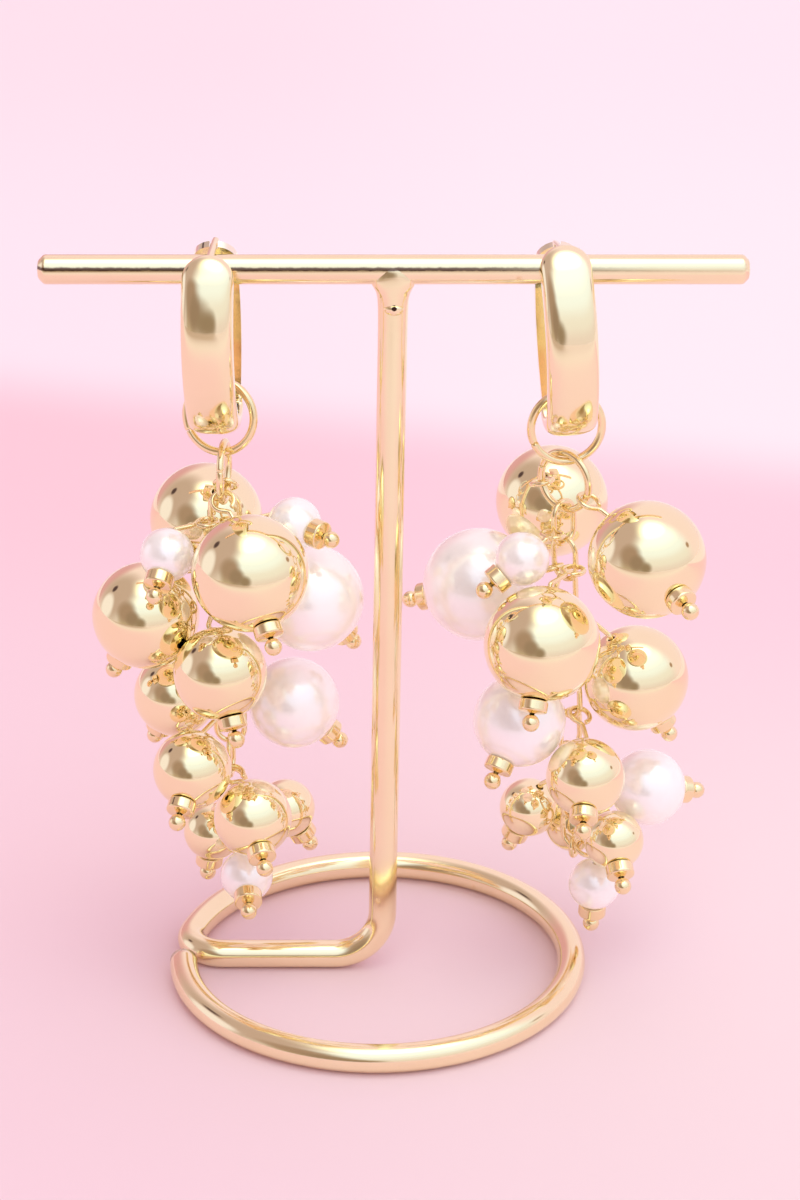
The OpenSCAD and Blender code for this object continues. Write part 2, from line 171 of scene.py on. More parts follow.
def arc(mid, r, a0, a1, steps, u, v):
    # Points on a circle in the plane of u and v
    a = np.radians(np.linspace(a0, a1, steps))[:, None]
    return np.asarray(mid) + r * (np.cos(a) * np.asarray(u) + np.sin(a) * np.asarray(v))


def fillet(points, radius, steps=5):
    # Rounds the corners of an open line of points: each corner becomes a quadratic curve, with
    # a point just before and after it that keeps the shading of the straights even
    p = np.asarray(points, float)
    radii = np.broadcast_to(radius, (len(p),))
    out = [p[:1]]
    s = np.linspace(0, 1, steps)[:, None]
    for before, here, after, wanted in zip(p[:-2], p[1:-1], p[2:], radii[1:-1]):
        r = min(wanted, 0.4 * np.linalg.norm(here - before), 0.4 * np.linalg.norm(after - here))
        a = here + unit(before - here) * r
        b = here + unit(after - here) * r
        out += [a[None] + 0.2 * (a - here),
                (1 - s) ** 2 * a + 2 * s * (1 - s) * here + s ** 2 * b,
                b[None] + 0.2 * (b - here)]
    return np.vstack(out + [p[-1:]])


def middleOf(node):
    low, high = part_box(node)
    return (np.array(low) + np.array(high)) / 2 / mm


# Shader helpers. An input, named or numbered, takes a value or another node's output.
def fill(tree, node, inputs):
    for key, value in inputs.items():
        socket = node.inputs[key]
        if isinstance(value, bpy.types.NodeSocket):
            tree.links.new(value, socket)
        else:
            socket.default_value = (*value, 1) if socket.type == "RGBA" else value
    return node


def place(tree, kind, inputs, **settings):
    node = tree.nodes.new(kind)
    for key, value in settings.items():
        setattr(node, key, value)
    return fill(tree, node, inputs)


def coordinates(tree, kind):
    return place(tree, "ShaderNodeTexCoord", {}).outputs[kind]


def partsOf(tree, vector):
    return place(tree, "ShaderNodeSeparateXYZ", {0: vector}).outputs


def reckon(tree, operation, *terms):
    return place(tree, "ShaderNodeMath", dict(enumerate(terms)), operation=operation).outputs[0]


def noise(tree, where, scale, detail, rough):
    return place(tree, "ShaderNodeTexNoise", {0: where, 2: scale, 3: detail, 4: rough}).outputs[0]


def ramped(tree, value, span, low=0.0, high=1.0, shape="SMOOTHSTEP"):
    # low up to the first end of the span and high from the second one on
    inputs = dict(enumerate((value, *span, low, high)))
    return place(tree, "ShaderNodeMapRange", inputs, interpolation_type=shape).outputs[0]


def blended(tree, factor, first, second):
    inputs = {0: factor, 6: first, 7: second}
    return place(tree, "ShaderNodeMix", inputs, data_type="RGBA").outputs[2]


def newMaterial(name):
    mat = bpy.data.materials.new(name)
    mat.use_nodes = True
    return mat, mat.node_tree, mat.node_tree.nodes["Principled BSDF"]


# Plated surface: slow waves of the polished casting, scattered pits and fine rubbed lines.
# Height goes to a Bump node, Tone shifts the colour and Haze the roughness.
plated = {"given": ("Wave Scale", "Wave", "Pit Scale", "Pits", "Rub"),
          "gives": ("Height", "Tone", "Haze"), "pitEdge": (0.05, 0.28), "pitDepth": 0.35,
          "rubStretch": (1.0, 1.0, 9.0), "rubScale": 900.0, "cloudScale": 70.0, "cloud": 0.7,
          "fullHaze": 1.2}
plating = bpy.data.node_groups.new("platedSurface", "ShaderNodeTree")
for way, labels in (("INPUT", plated["given"]), ("OUTPUT", plated["gives"])):
    for label in labels:
        plating.interface.new_socket(label, in_out=way, socket_type="NodeSocketFloat")
given = plating.nodes.new("NodeGroupInput").outputs
where = coordinates(plating, "Object")
wave = noise(plating, where, given["Wave Scale"], 2.0, 0.5)
cells = place(plating, "ShaderNodeTexVoronoi",
              {"Vector": where, "Scale": given["Pit Scale"]}, feature="F1").outputs
chance = place(plating, "ShaderNodeSeparateColor", {0: cells["Color"]}).outputs[0]
pit = reckon(plating, "MULTIPLY", reckon(plating, "LESS_THAN", chance, given["Pits"]),
             ramped(plating, cells["Distance"], plated["pitEdge"], 1.0, 0.0))
stretched = place(plating, "ShaderNodeMapping", {0: where, 3: plated["rubStretch"]}).outputs[0]
lines = noise(plating, stretched, plated["rubScale"], 3.0, 0.6)
cloud = noise(plating, where, plated["cloudScale"], 3.0, 0.6)
place(plating, "NodeGroupOutput", {
    "Height": reckon(plating, "SUBTRACT", reckon(plating, "MULTIPLY", wave, given["Wave"]),
                     reckon(plating, "MULTIPLY", pit, plated["pitDepth"])),
    "Tone": reckon(plating, "MULTIPLY_ADD", cloud, plated["cloud"], pit),
    "Haze": reckon(plating, "ADD", reckon(plating, "MULTIPLY", lines, given["Rub"]), pit)})


def goldMaterial(name, look):
    # Metal whose tint, roughness and relief come from the plated surface group
    mat, tree, bsdf = newMaterial(name)
    surface = place(tree, "ShaderNodeGroup", {}, node_tree=plating)
    fill(tree, surface, {label: look[label] for label in plated["given"]})
    bump = place(tree, "ShaderNodeBump", {"Strength": look["bump"], "Distance": mm * look["relief"],
                                          "Height": surface.outputs["Height"]})
    fill(tree, bsdf, {
        "Metallic": 1.0, "Normal": bump.outputs[0],
        "Base Color": blended(tree, surface.outputs["Tone"], look["light"], look["deep"]),
        "Roughness": ramped(tree, surface.outputs["Haze"], (0.0, plated["fullHaze"]),
                            look["smooth"], look["hazy"], "LINEAR")})
    return mat


standLook = {"light": (1.0, 0.92, 0.63), "deep": (0.93, 0.76, 0.46), "smooth": 0.07,
             "hazy": 0.34, "Wave Scale": 160.0, "Wave": 1.0, "Pit Scale": 420.0, "Pits": 0.05,
             "Rub": 0.5, "bump": 0.35, "relief": 0.05}
hoopLook = {"light": (1.0, 0.925, 0.63), "deep": (0.96, 0.83, 0.52), "smooth": 0.05,
            "hazy": 0.22, "Wave Scale": 240.0, "Wave": 1.0, "Pit Scale": 300.0, "Pits": 0.02,
            "Rub": 0.4, "bump": 0.35, "relief": 0.05}
linkLook = {"light": (1.0, 0.87, 0.55), "deep": (0.90, 0.70, 0.38), "smooth": 0.08,
            "hazy": 0.26, "Wave Scale": 500.0, "Wave": 0.6, "Pit Scale": 700.0, "Pits": 0.04,
            "Rub": 0.4, "bump": 0.25, "relief": 0.03}
beadLook = {"light": (1.0, 0.925, 0.62), "deep": (0.96, 0.83, 0.50), "smooth": 0.035,
            "hazy": 0.16, "Wave Scale": 150.0, "Wave": 1.0, "Pit Scale": 260.0, "Pits": 0.012,
            "Rub": 0.3, "bump": 0.2, "relief": 0.05}
# The back arms show little but other gold, so their colour is painted paler, a painted reflection
# of the cream light round them; the solder's spot is near black, a painted dark reflection
armPaintedLook = dict(hoopLook, light=(1.0, 0.95, 0.78), deep=(0.98, 0.88, 0.68))
paintedDarkLook = dict(linkLook, light=(0.08, 0.04, 0.03), deep=(0.03, 0.015, 0.012), smooth=0.4,
               hazy=0.7)
standGold = goldMaterial("standGold", standLook)
hoopGold = goldMaterial("hoopGold", hoopLook)
armPaintedGold = goldMaterial("armPaintedGold", armPaintedLook)
linkGold = goldMaterial("linkGold", linkLook)
beadGold = goldMaterial("beadGold", beadLook)
paintedDarkSpot = goldMaterial("paintedDarkSpot", paintedDarkLook)

# A ragged dark brown line along the crossbar's front, that fades out towards the right: a painted
# reflection of the dark room, partly tarnish. It is between two heights, in front of the bar's
# middle.
tarnishAndReflection = {"low": (104.3, 104.42), "high": (104.68, 104.9), "behind": 5.0, "ends": (7.0, 40.0),
        "ragged": 0.3, "grain": 1100.0, "color": (0.17, 0.10, 0.08), "most": 0.95}
tree = standGold.node_tree
bsdf = tree.nodes["Principled BSDF"]
where = coordinates(tree, "Object")
spot = partsOf(tree, where)
ragged = mm * tarnishAndReflection["ragged"]
shift = reckon(tree, "MULTIPLY_ADD", noise(tree, where, tarnishAndReflection["grain"], 3.0, 0.7), ragged,
               -0.5 * ragged)
height = reckon(tree, "ADD", spot["Z"], shift)
paintedLineShare = reckon(tree, "LESS_THAN", spot["Y"], mm * tarnishAndReflection["behind"])
for source, key, low, high in ((height, "low", 0.0, 1.0), (height, "high", 1.0, 0.0),
                               (spot["X"], "ends", tarnishAndReflection["most"], 0.0)):
    span = [mm * v for v in tarnishAndReflection[key]]
    paintedLineShare = reckon(tree, "MULTIPLY", paintedLineShare, ramped(tree, source, span, low, high))
# The line's dark brown is painted into the bar's colour: a painted reflection of the dark room,
# with tarnish
plain = bsdf.inputs["Base Color"].links[0].from_socket
fill(tree, bsdf, {"Base Color": blended(tree, paintedLineShare, plain, tarnishAndReflection["color"])})

# Pearl: pinkish body with drifting nacre tints and a warm rim painted towards its edges, a painted
# reflection of the gold round it, under a clear coat. A faint painted glow stands for the light
# that comes back out of the nacre.
pearlLook = {"body": (1.0, 0.955, 0.965), "cool": (0.96, 0.965, 1.0), "warm": (1.0, 0.955, 0.90),
             "rim": (1.0, 0.91, 0.84), "rimBlend": 0.35, "driftScale": 85.0,
             "drift": (0.38, 0.62), "drifting": 0.45, "metallic": 0.3, "roughness": 0.24,
             "ior": 1.6, "coat": 0.9, "coatRoughness": 0.06, "glow": 0.14,
             "glowColor": (1.0, 0.86, 0.84)}
pearlMat, tree, bsdf = newMaterial("pearlNacre")
drift = noise(tree, coordinates(tree, "Object"), pearlLook["driftScale"], 1.5, 0.5)
nacre = blended(tree, ramped(tree, drift, pearlLook["drift"]), pearlLook["cool"],
                pearlLook["warm"])
body = blended(tree, pearlLook["drifting"], pearlLook["body"], nacre)
# Warm rim painted by facing: a painted reflection of the gold beads round the pearl
facing = place(tree, "ShaderNodeLayerWeight", {"Blend": pearlLook["rimBlend"]}).outputs["Facing"]
fill(tree, bsdf, {
    "Base Color": blended(tree, facing, body, pearlLook["rim"]), "IOR": pearlLook["ior"],
    "Metallic": pearlLook["metallic"], "Roughness": pearlLook["roughness"],
    "Coat Weight": pearlLook["coat"], "Coat Roughness": pearlLook["coatRoughness"],
    "Emission Color": pearlLook["glowColor"], "Emission Strength": pearlLook["glow"]})
print("materials made")

# Floor: pink paper on which the stand is, which lies deeper pink at the left. A paler sheet
# behind it begins along a slanting line, and in front the paper runs out into a light table,
# which has a painted shadow on its left, under whoever stands there. Spans are where one tone
# turns into the next, and pairs of tones are for the left and the right.
floorLook = {"half": 2500.0, "roughness": 0.75, "specular": 0.2, "slant": 0.316}
floorSpans = {"sides": (-75.0, 75.0), "deepens": (30.0, 200.0), "turns": (203.0, 264.0),
              "pales": (300.0, 650.0), "runsOut": (-60.0, -430.0), "table": (-160.0, -1000.0),
              "paintedShadowSides": (220.0, -160.0)}
floorTones = {"near": ((0.98, 0.705, 0.80), (0.98, 0.775, 0.83)),
              "deep": ((0.98, 0.638, 0.735), (0.98, 0.68, 0.785)),
              "far": ((0.99, 0.845, 0.935), (0.99, 0.895, 0.965)),
              "pale": ((0.99, 0.80, 0.885), (0.99, 0.855, 0.94)),
              "front": (0.98, 0.88, 0.90), "table": (0.92, 0.80, 0.82), "paintedShadow": (0.60, 0.47, 0.41)}
h = floorLook["half"] * mm
floorMesh = bpy.data.meshes.new("floor")
floorMesh.from_pydata([(-h, -h, 0), (h, -h, 0), (h, h, 0), (-h, h, 0)], [], [(0, 1, 2, 3)])
floor = bpy.data.objects.new("floor", floorMesh)
bpy.context.scene.collection.objects.link(floor)
paper, tree, bsdf = newMaterial("pinkPaper")
spot = partsOf(tree, coordinates(tree, "Object"))


def fade(value, key):
    span = [mm * v for v in floorSpans[key]]
    return ramped(tree, value, span, shape="SMOOTHERSTEP")


across = fade(spot["X"], "sides")
slant = reckon(tree, "MULTIPLY_ADD", spot["X"], floorLook["slant"], spot["Y"])
sided = {key: blended(tree, across, *floorTones[key]) for key in ("near", "deep", "far", "pale")}
near = blended(tree, fade(slant, "deepens"), sided["near"], sided["deep"])
far = blended(tree, fade(spot["Y"], "pales"), sided["far"], sided["pale"])
# Far table, darker on the left by a painted shadow
away = blended(tree, fade(spot["X"], "paintedShadowSides"), floorTones["table"], floorTones["paintedShadow"])
tone = blended(tree, fade(slant, "turns"), near, far)
tone = blended(tree, fade(spot["Y"], "runsOut"), tone, floorTones["front"])
tone = blended(tree, fade(spot["Y"], "table"), tone, away)
fill(tree, bsdf, {"Base Color": tone, "Roughness": floorLook["roughness"],
                  "Specular IOR Level": floorLook["specular"]})
floorMesh.materials.append(paper)

# Room: light from the front, the right and the top that grows with height over the paper's
# horizon, pink behind, and on the left a dim wall with a narrow window and a dark figure in
# front of it. Each of these is a soft patch of sky: its middle as azimuth from the front
# towards the right, and elevation, then where it is full and where it ends, in degrees.
room = {"behind": (1.0, 0.80, 0.90), "rear": (-0.15, 0.35),
        "light": [(0.0, (0.86, 0.74, 0.79)), (0.26, (0.91, 0.88, 0.94)),
                  (0.57, (0.98, 1.07, 1.24)), (0.85, (1.28, 1.37, 1.48)),
                  (1.0, (3.0, 3.2, 2.65))]}
patches = [
    {"az": -150, "up": 8, "full": 10, "ends": 35, "color": (0.75, 0.40, 0.48)},
    {"az": -92, "up": 38, "full": 24, "ends": 55, "color": (0.58, 0.43, 0.42)},
    {"az": -97, "up": 12, "full": 12, "ends": 22, "color": (0.98, 0.90, 1.02)},
    {"az": -36, "up": 2, "full": 8, "ends": 27, "color": (0.55, 0.43, 0.35)},
    {"az": -42, "up": 24, "full": 9, "ends": 27, "color": (0.41, 0.28, 0.23)},
    {"az": -24, "up": 13, "full": 6, "ends": 20, "color": (0.34, 0.24, 0.19)},
    {"az": -7, "up": 5, "full": 3, "ends": 15, "color": (0.33, 0.24, 0.18)},
    {"az": -112, "up": 35, "full": 3, "ends": 7, "color": (0.10, 0.06, 0.07)},
    {"az": 95, "up": 20, "full": 2, "ends": 5, "color": (0.45, 0.28, 0.20)},
]
world = bpy.data.worlds.new("room")
world.use_nodes = True
bpy.context.scene.world = world
tree = world.node_tree
where = coordinates(tree, "Generated")
spot = partsOf(tree, where)
light = place(tree, "ShaderNodeValToRGB", {0: spot["Z"]})
light.color_ramp.interpolation = "EASE"
for at, color in room["light"][1:-1]:
    light.color_ramp.elements.new(at)
for stop, (at, color) in zip(light.color_ramp.elements, room["light"]):
    stop.position, stop.color = at, (*color, 1)
sky = blended(tree, ramped(tree, spot["Y"], room["rear"]), light.outputs[0], room["behind"])
for patch in patches:
    az, up = math.radians(patch["az"]), math.radians(patch["up"])
    middle = (math.cos(up) * math.sin(az), -math.cos(up) * math.cos(az), math.sin(up))
    nearness = place(tree, "ShaderNodeVectorMath", {0: where, 1: middle}, operation="DOT_PRODUCT")
    span = [math.cos(math.radians(patch[key])) for key in ("ends", "full")]
    sky = blended(tree, ramped(tree, nearness.outputs["Value"], span), sky, patch["color"])
fill(tree, tree.nodes["Background"], {"Color": sky})
bpy.context.scene.view_settings.view_transform = "Standard"
print("floor and room made")

# Wires, rings and spacers, with the sizes that the frame has
wires = {"eyeD": 3.7, "pinD": 0.7, "ballD": 2.4, "pinOut": 0.5, "neckStep": 0.25,
         "jumpD": 11.0, "jumpWire": 1.15, "ringD": 9.2, "ringWire": 1.05,
         "jumpCutAt": 205.0, "ringCutAt": 160.0, "cutWide": 0.08, "cutEnd": 0.86,
         "linkLen": 7.0, "linkWide": 4.8, "linkWire": 0.8, "links": 10, "gap": 0.1,
         "linkSlack": 1.2, "leastSlide": 50.0, "leastRingSlide": 22.0}
headPin = {"cutAt": 20.0, "kinkAt": 322.0, "cutEnd": 0.72, "cutStep": 0.35, "kinkR": 0.35,
           "bendR": 0.5, "enters": 0.15, "aside": 0.45, "ballFrom": 6.0}
seam = {"at": 5.5, "swell": 0.05, "swellWide": 2.2, "groove": 0.11, "grooveWide": 0.7}
spacer = {"outer": 4.0, "thick": 1.6, "edge": 0.26, "boreEdge": 0.12, "dish": 0.8,
          "slope": 0.25}
drilled = {"hole": 1.0, "rim": 0.28}
eyeR = (wires["eyeD"] - wires["pinD"]) / 2
ringR = (wires["ringD"] - wires["ringWire"]) / 2
jumpR = (wires["jumpD"] - wires["jumpWire"]) / 2
bendR = (wires["linkWide"] - wires["linkWire"]) / 2
linkHalf = (wires["linkLen"] - wires["linkWire"]) / 2
linkStraight = linkHalf - bendR
pitch = 2 * linkHalf - wires["linkWire"] - wires["linkSlack"] * wires["gap"]

# Drops: the chain link that holds the eye (-1 is the link ring), the link's side, the turn
# and tilt of the eye, steps of neck, the turn and tilt of the bead, its size and its finish
earrings = {
    "left": {"ringTurn": 85.0, "linkTurn": -5.0, "lean": 0.0, "jumpTurn": -18.0, "drops": [
        (-1, 1, 130, 56, 3, 110, 41, 16, "gold"),
        (0, 1, 30, 90, 10, -40, 85, 7.5, "pearl"),
        (0, -1, -160, 85, 11, -105, 55, 7.5, "pearl"),
        (-1, -1, -55, 55, 4, -65, 45, 16, "gold"),
        (1, -1, -175, 85, 20, 160, 30, 15, "gold"),
        (0, 1, -10, 50, 20, 30, 40, 15, "pearl"),
        (4, -1, 150, 75, 7, 140, 30, 12, "gold"),
        (2, -1, -100, 70, 11, -65, 35, 13, "gold"),
        (4, 1, 25, 60, 3, 15, 45, 13, "pearl"),
        (5, -1, -140, 60, 11, -105, 55, 11, "gold"),
        (7, -1, -40, 75, 2, -75, 60, 11, "gold"),
        (8, 1, 55, 85, 13, 20, 30, 8.5, "gold"),
        (8, -1, 105, 60, 9, 140, 10, 8.5, "gold"),
        (9, 1, 0, 35, 2, -85, 70, 7.5, "pearl"),
    ]},
    "right": {"ringTurn": -40.0, "linkTurn": 45.0, "lean": 0.05, "jumpTurn": 8.0, "drops": [
        (-1, -1, 85, 80, 11, 75, 45, 16, "gold"),
        (-1, 1, -35, 65, 11, -60, 70, 16, "gold"),
        (1, 1, 145, 65, 6, 160, 70, 16, "pearl"),
        (0, -1, -115, 95, 2, -160, 55, 7.5, "pearl"),
        (1, -1, -125, 90, 16, -105, 35, 16, "gold"),
        (2, 1, -20, 55, 16, 10, 30, 15, "gold"),
        (4, -1, -160, 90, 2, -125, 45, 13, "pearl"),
        (5, -1, -80, 70, 12, -95, 55, 11, "gold"),
        (7, -1, 5, 75, 9, 25, 75, 11, "pearl"),
        (7, 1, 155, 55, 6, 150, 25, 8.5, "gold"),
        (8, 1, -40, 89, 9, -80, 54, 8.5, "gold"),
        (9, -1, 65, 95, 2, 100, 90, 8.5, "gold"),
        (9, -1, -45, 65, 2, 120, 5, 7.5, "pearl"),
    ]},
}


def onChain(side, z):
    # A point on the chain's line, which may drift sideways from the second link down
    ring = middleOf(side + "_link_ring")
    lean = earrings[side]["lean"]
    return np.array([ring[0] + lean * max(0.0, linkZ(side, 0) - z), ring[1], z])


def linkZ(side, k):
    ring = middleOf(side + "_link_ring")
    hooked = (wires["ringWire"] + wires["linkWire"]) / 2 + wires["gap"]
    return ring[2] - ringR + hooked - linkHalf - k * pitch


def hangDrop(side, row):
    # Where a drop's eye, bend, bead and tip are. The eye slides up its link's arc as the pin
    # pulls it, and its axis follows the link's wire there.
    host, onSide, az, tilt, neck, beadAz, beadTilt, size, kind = row
    e = earrings[side]
    if host < 0:
        mid, r, wire = middleOf(side + "_link_ring"), ringR, wires["ringWire"]
        facing, least = e["ringTurn"], wires["leastRingSlide"]
    else:
        mid, r, wire = onChain(side, linkZ(side, host) - linkStraight), bendR, wires["linkWire"]
        facing = e["linkTurn"] + 90 * (host % 2)
        least = 0.0 if host == wires["links"] - 1 else wires["leastSlide"]
    heldAz = facing + (0 if onSide > 0 else 180)
    pull = math.sin(math.radians(tilt)) * math.cos(math.radians(az - heldAz))
    slide = min(90.0, max(least, math.degrees(math.atan2(pull, math.cos(math.radians(tilt))))))
    eyeDir, beadDir = aim(az, tilt), aim(beadAz, beadTilt)
    held = mid + r * aim(heldAz, slide)
    run = math.cos(math.radians(slide)) * level(heldAz) + [0, 0, math.sin(math.radians(slide))]
    eye = held + (eyeR - wires["pinD"] / 2 - wire / 2 - wires["gap"]) * eyeDir
    bend = eye + (eyeR + wires["pinD"] / 2 + neck * wires["neckStep"]) * eyeDir
    bead = bend + (wires["pinOut"] + size / 2) * beadDir
    return {"eye": eye, "eyeDir": eyeDir, "axis": unit(run - (run @ eyeDir) * eyeDir),
            "bend": bend, "bead": bead, "beadDir": beadDir, "size": size, "kind": kind}


def pinShell(d):
    # A head pin: its eye from the cut end round to the kink, a bend, a straight wire, a ball.
    # The ball is the wire's own radius growing as sqrt(R^2 - s^2) along it.
    u, v, beadDir = d["eyeDir"], np.cross(d["axis"], d["eyeDir"]), d["beadDir"]
    wireR, ballR = wires["pinD"] / 2, wires["ballD"] / 2
    eyeArc = arc(d["eye"], eyeR, headPin["cutAt"], headPin["kinkAt"], 40, u, v)
    a = math.radians(headPin["kinkAt"])
    toKink = eyeR * math.sin(-a) / math.cos(a)
    kink = eyeArc[-1] + toKink * (-math.sin(a) * u + math.cos(a) * v)
    enters = d["bead"] - d["size"] / 2 * beadDir
    tip = d["bead"] + (d["size"] / 2 + spacer["thick"] + 2 * wires["gap"] + ballR) * beadDir
    neck = fillet([eyeArc[-2], eyeArc[-1], kink, d["bend"], enters],
                  (0, 0.1, headPin["kinkR"], headPin["bendR"], 0), 6)
    meets = math.asin(wireR / ballR)
    start = ballR * math.cos(meets)
    f = np.radians(np.linspace(180 - math.degrees(meets), headPin["ballFrom"], 14))[1:]
    straight = enters + np.linspace(headPin["enters"], 1, 6)[:, None] * (
        tip - start * beadDir - enters)
    ball = tip + ballR * np.cos(f)[:, None] * beadDir
    path = np.vstack([eyeArc[:1], eyeArc[:1] + headPin["cutStep"] * (eyeArc[1:2] - eyeArc[:1]),
                      eyeArc[1:-1], neck[1:], straight, ball])
    radius = np.full(len(path), wireR)
    radius[0] = headPin["cutEnd"] * wireR
    radius[-len(f):] = ballR * np.sin(f)
    beside = d["axis"] - headPin["aside"] * np.sign(d["axis"] @ beadDir) * u
    return tube(path, radius, beside, 14), False


def discShell(d):
    # A spacer turned about the pin: rounded, with a bore, and dished towards its bead
    t, r, bore = spacer["thick"], spacer["outer"] / 2, wires["pinD"] / 2 + wires["gap"]
    edge, boreEdge = spacer["edge"], spacer["boreEdge"]
    dish = spacer["dish"] * (d["size"] / 2 - math.sqrt((d["size"] / 2) ** 2 - r ** 2))
    rounded = fillet([(t * 0.49, bore), (0, bore), (-dish, r), (t - spacer["slope"], r),
                      (t, bore), (t * 0.51, bore)], (0, boreEdge, edge, edge, boreEdge, 0), 7)
    start = d["bead"] + (d["size"] / 2 + wires["gap"]) * d["beadDir"]
    return revolve(rounded, start, d["beadDir"], 44), True


def beadShell(d):
    # A drilled ball: s = -R cos f, r = R sin f, with each end of the bore rounded into it by
    # an arc that touches the ball and the bore
    r, hole, rim = d["size"] / 2, drilled["hole"] / 2, drilled["rim"]
    reach = math.sqrt((r - rim) ** 2 - (hole + rim) ** 2)
    touch = math.degrees(math.atan2(hole + rim, reach))
    f = np.radians(np.linspace(touch, 180 - touch, 60))[1:-1]
    ball = np.stack([-r * np.cos(f), r * np.sin(f)], -1)
    low = arc((-reach, hole + rim), rim, 270, 180 - touch, 7, (1, 0), (0, 1))
    high = arc((reach, hole + rim), rim, touch, -90, 7, (1, 0), (0, 1))
    profile = np.vstack([low, ball, high])
    return revolve(profile, d["bead"], d["beadDir"], 72), True


# Drops, one by one: a bead each, and all pins and all spacers of an earring together. A bead
# that isn't where the frame has it is reported.
mostOff = 0.06
for side, e in earrings.items():
    drops = [hangDrop(side, row) for row in e["drops"]]
    for i, d in enumerate(drops):
        node = f"{side}_bead_{i + 1}"
        off = float(np.abs(middleOf(node) - d["bead"]).max())
        if off > mostOff:
            print(f"{node} is {off:.2f} mm from its place in the frame")
        gold = d["kind"] == "gold"
        makePiece(f"{side}Bead{i + 1}", [beadShell(d)], beadGold if gold else pearlMat,
                  [node])
    makePiece(f"{side}HeadPins", [pinShell(d) for d in drops], linkGold,
              [side + "_head_pins"])
    makePiece(f"{side}Discs", [discShell(d) for d in drops], linkGold,
              [side + "_discs"])
print("beads, pins and spacers made")


def ringShell(mid, r, wire, facing, lean, cutAt):
    # A ring of round wire, turned about Z and leaned back, with the cut where it was opened
    across = turn("x", -lean) @ level(facing)
    up = turn("x", -lean) @ np.array([0, 0, 1.0])
    half = math.degrees(wires["cutWide"] / 2 / r)
    path = arc(mid, r, cutAt + half, cutAt + 360 - half, 150, across, up)
    radius = np.full(len(path), wire / 2)
    radius[[0, -1]] = wires["cutEnd"] * wire / 2
    return tube(path, radius, np.cross(across, up), 22), False


def linkShell(side, k):
    # An oval link: two half circles and two straights, with its soldered seam half way up one,
    # where the wire swells around a narrow groove
    e = earrings[side]
    lean = math.degrees(math.atan(e["lean"]))
    tilted = turn("y", -lean)
    across = tilted @ level(e["linkTurn"] + 90 * (k % 2))
    up = tilted @ np.array([0, 0, 1.0])
    mid = onChain(side, linkZ(side, k))
    straight = np.linspace(-linkStraight, linkStraight, 14)[1:-1, None]
    path = np.vstack([mid + bendR * across + straight * up,
                      arc(mid + linkStraight * up, bendR, 0, 180, 26, across, up),
                      mid - bendR * across - straight * up,
                      arc(mid - linkStraight * up, bendR, 180, 360, 26, across, up)])
    s = np.arange(len(path)) - seam["at"]
    radius = wires["linkWire"] / 2 * (1 + seam["swell"] * np.exp(-(s / seam["swellWide"]) ** 2)
                                      - seam["groove"] * np.exp(-(s / seam["grooveWide"]) ** 2))
    return tube(path, radius, np.cross(across, up), 16, True), True


for side, e in earrings.items():
    jump, ring = middleOf(side + "_jump_ring"), middleOf(side + "_link_ring")
    lean = math.degrees(math.asin((jump[1] - ring[1]) / jumpR))
    jumpShell = ringShell(jump, jumpR, wires["jumpWire"], e["jumpTurn"], lean, wires["jumpCutAt"])
    linkRing = ringShell(ring, ringR, wires["ringWire"], e["ringTurn"], 0, wires["ringCutAt"])
    links = [linkShell(side, k) for k in range(wires["links"])]
    for name, node, shells in (("JumpRing", "_jump_ring", [jumpShell]),
                               ("LinkRing", "_link_ring", [linkRing]), ("Chain", "_chain", links)):
        makePiece(side + name, shells, linkGold, [side + node])
print("rings and chains made")

# Stand: crossbar, one bent wire for post, foot arm and floor ring, and the weld between them
stand = {"wire": 4.0, "bar": 95.0, "barY": 5.0, "chamfer": 0.8, "barEdge": 0.3, "sunk": 0.9,
         "capStep": 0.05, "foot": (-1.8, 0.6), "footBend": 7.0, "ringBend": 5.0, "floorR": 28.1,
         "floorX": -2.4, "stopAt": -177.0, "tipLong": 0.25, "tipIn": 0.3}
wireR = stand["wire"] / 2
barMid = np.array([0, stand["barY"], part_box("stand")[1][2] / mm - wireR])
half, ch, edge = stand["bar"] / 2, stand["chamfer"], stand["barEdge"]
barLine = fillet([(-half, edge), (-half, wireR - ch), (ch - half, wireR), (half - ch, wireR),
                  (half, wireR - ch), (half, edge)], edge, 6)

# The wire's line: from inside the bar down the post, round the foot, along the floor arm, round
# the bend into the floor ring, and round that to its rounded tip
foot = np.array([stand["foot"][0], stand["foot"][1], wireR])
postUp = unit(barMid - foot)
lean = math.degrees(math.atan2(postUp[0], math.hypot(postUp[1], postUp[2])))
back = unit(np.array([0, postUp[1], postUp[2]]))
tangent = stand["footBend"] * math.tan(math.radians((90 - lean) / 2))
bendMid = foot + [-tangent, 0, 0] + stand["footBend"] * back
postBend = arc(bendMid, stand["footBend"], -lean, -90, 20, (1, 0, 0), back)
armY = stand["foot"][1] + stand["ringBend"]
armX = stand["floorX"] - math.sqrt((stand["floorR"] - stand["ringBend"]) ** 2 - armY ** 2)
startAt = math.degrees(math.atan2(armY, armX - stand["floorX"]))
ringBend = arc((armX, armY, wireR), stand["ringBend"], 270, startAt, 18, (1, 0, 0), (0, 1, 0))
floorRing = arc((stand["floorX"], 0, wireR), stand["floorR"], startAt, stand["stopAt"], 150,
                (1, 0, 0), (0, 1, 0))
top, low = barMid - stand["sunk"] * postUp, postBend[-1]
tip = floorRing[-1:] + stand["tipLong"] * unit(floorRing[-1:] - floorRing[-2:-1])
wireLine = np.vstack([top, top - stand["capStep"] * postUp,
                      top + np.linspace(0, 1, 12)[1:-1, None] * (postBend[0] - top), postBend,
                      low + np.linspace(0, 1, 8)[1:-1, None] * (ringBend[0] - low),
                      ringBend, floorRing[1:], tip])
wireRadius = np.full(len(wireLine), wireR)
wireRadius[-1] -= stand["tipIn"]

